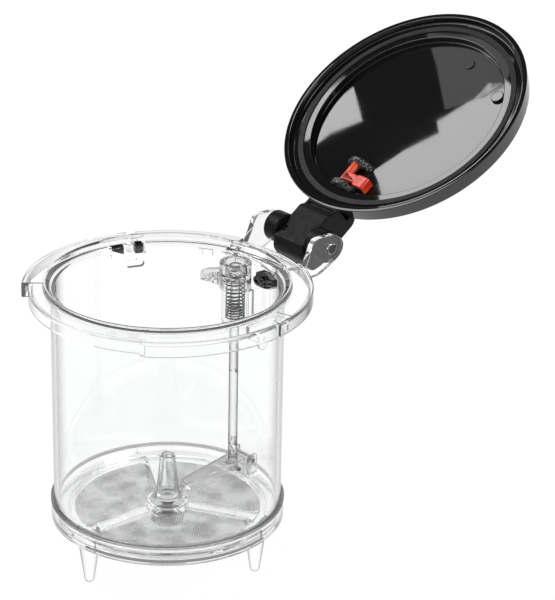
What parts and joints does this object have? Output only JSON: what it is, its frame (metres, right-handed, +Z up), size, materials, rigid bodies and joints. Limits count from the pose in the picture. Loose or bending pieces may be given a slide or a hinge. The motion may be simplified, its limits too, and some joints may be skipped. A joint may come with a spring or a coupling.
{
  "type": "brewing filter canister",
  "caption": "Clear drop-in brewing canister with a hinged black lid, mesh filter disc, tapered feet and a sprung push rod working a drain valve.",
  "frame": {"origin": "centre of the seat under the collar skirt, on the canister axis", "axes": "+Z up along the canister axis, +Y from the axis towards the lid hinge, +X along the hinge pin"},
  "size_m": [0.1196, 0.2387, 0.2056],
  "materials": {
    "clear_plastic": "gloss",
    "smoke_plastic": "gloss",
    "black_plastic": "gloss",
    "red_plastic": "gloss",
    "seal_rubber": "satin",
    "spring_steel": "satin",
    "mesh_steel": "satin"
  },
  "bodies": {
    "canister": {"tube": "clear_plastic", "collar": "clear_plastic", "hinge_ears": "clear_plastic", "hinge_pin": "black_plastic", "key_blocks": "black_plastic", "stop_block": "black_plastic", "guide_tube": "clear_plastic", "lever_ears": "clear_plastic", "lever_pin": "spring_steel", "joint_ring": "smoke_plastic", "base_ring": "clear_plastic", "drain_floor": "clear_plastic", "feet": "clear_plastic", "filter_frame": "clear_plastic", "filter_mesh": "mesh_steel"},
    "lid": {"lid_shell": "black_plastic", "lid_inner_ring": "black_plastic", "lid_seal": "seal_rubber", "lid_arm": "black_plastic", "rocker_brackets": "black_plastic", "rocker_pin": "spring_steel"},
    "rocker_body": {"rocker": "red_plastic"},
    "plunger": {"cap": "smoke_plastic", "push_rod": "clear_plastic", "link_pin": "spring_steel", "spring": "spring_steel"},
    "lever_body": {"lever": "clear_plastic"},
    "valve": {"valve_post": "clear_plastic", "valve_plug": "black_plastic", "valve_seal": "seal_rubber"}
  },
  "joints": [
    {"name": "lid_hinge", "type": "hinge", "parent": "canister", "child": "lid", "pos_m": [0, 0.0733, 0.009], "axis": [1, 0, 0], "range_deg": [0, 145]},
    {"name": "rocker_tilt", "type": "hinge", "parent": "lid", "child": "rocker_body", "pos_m": [-0.0035, 0.10394, 0.02923], "axis": [0, -0.8192, -0.5736], "range_deg": [-1, 3.5], "stiffness_Nm_per_rad": 0.002},
    {"name": "plunger_press", "type": "slide", "parent": "canister", "child": "plunger", "axis": [0, 0, -1], "range_m": [0, 0.00067], "stiffness_N_per_m": 400, "springref_m": -0.005, "deforming": ["spring"]},
    {"name": "lever_tilt", "type": "hinge", "parent": "canister", "child": "lever_body", "pos_m": [0, 0.0432, -0.0858], "axis": [1, 0, 0], "range_deg": [0, 6]},
    {"name": "valve_drop", "type": "slide", "parent": "canister", "child": "valve", "axis": [0, 0, -1], "range_m": [0, 0.0039]}
  ],
  "couplings": [
    {"joint": "lever_tilt", "follows": "plunger_press", "rad_per_m": 155.23},
    {"joint": "valve_drop", "follows": "plunger_press", "ratio": 5.811}
  ]
}
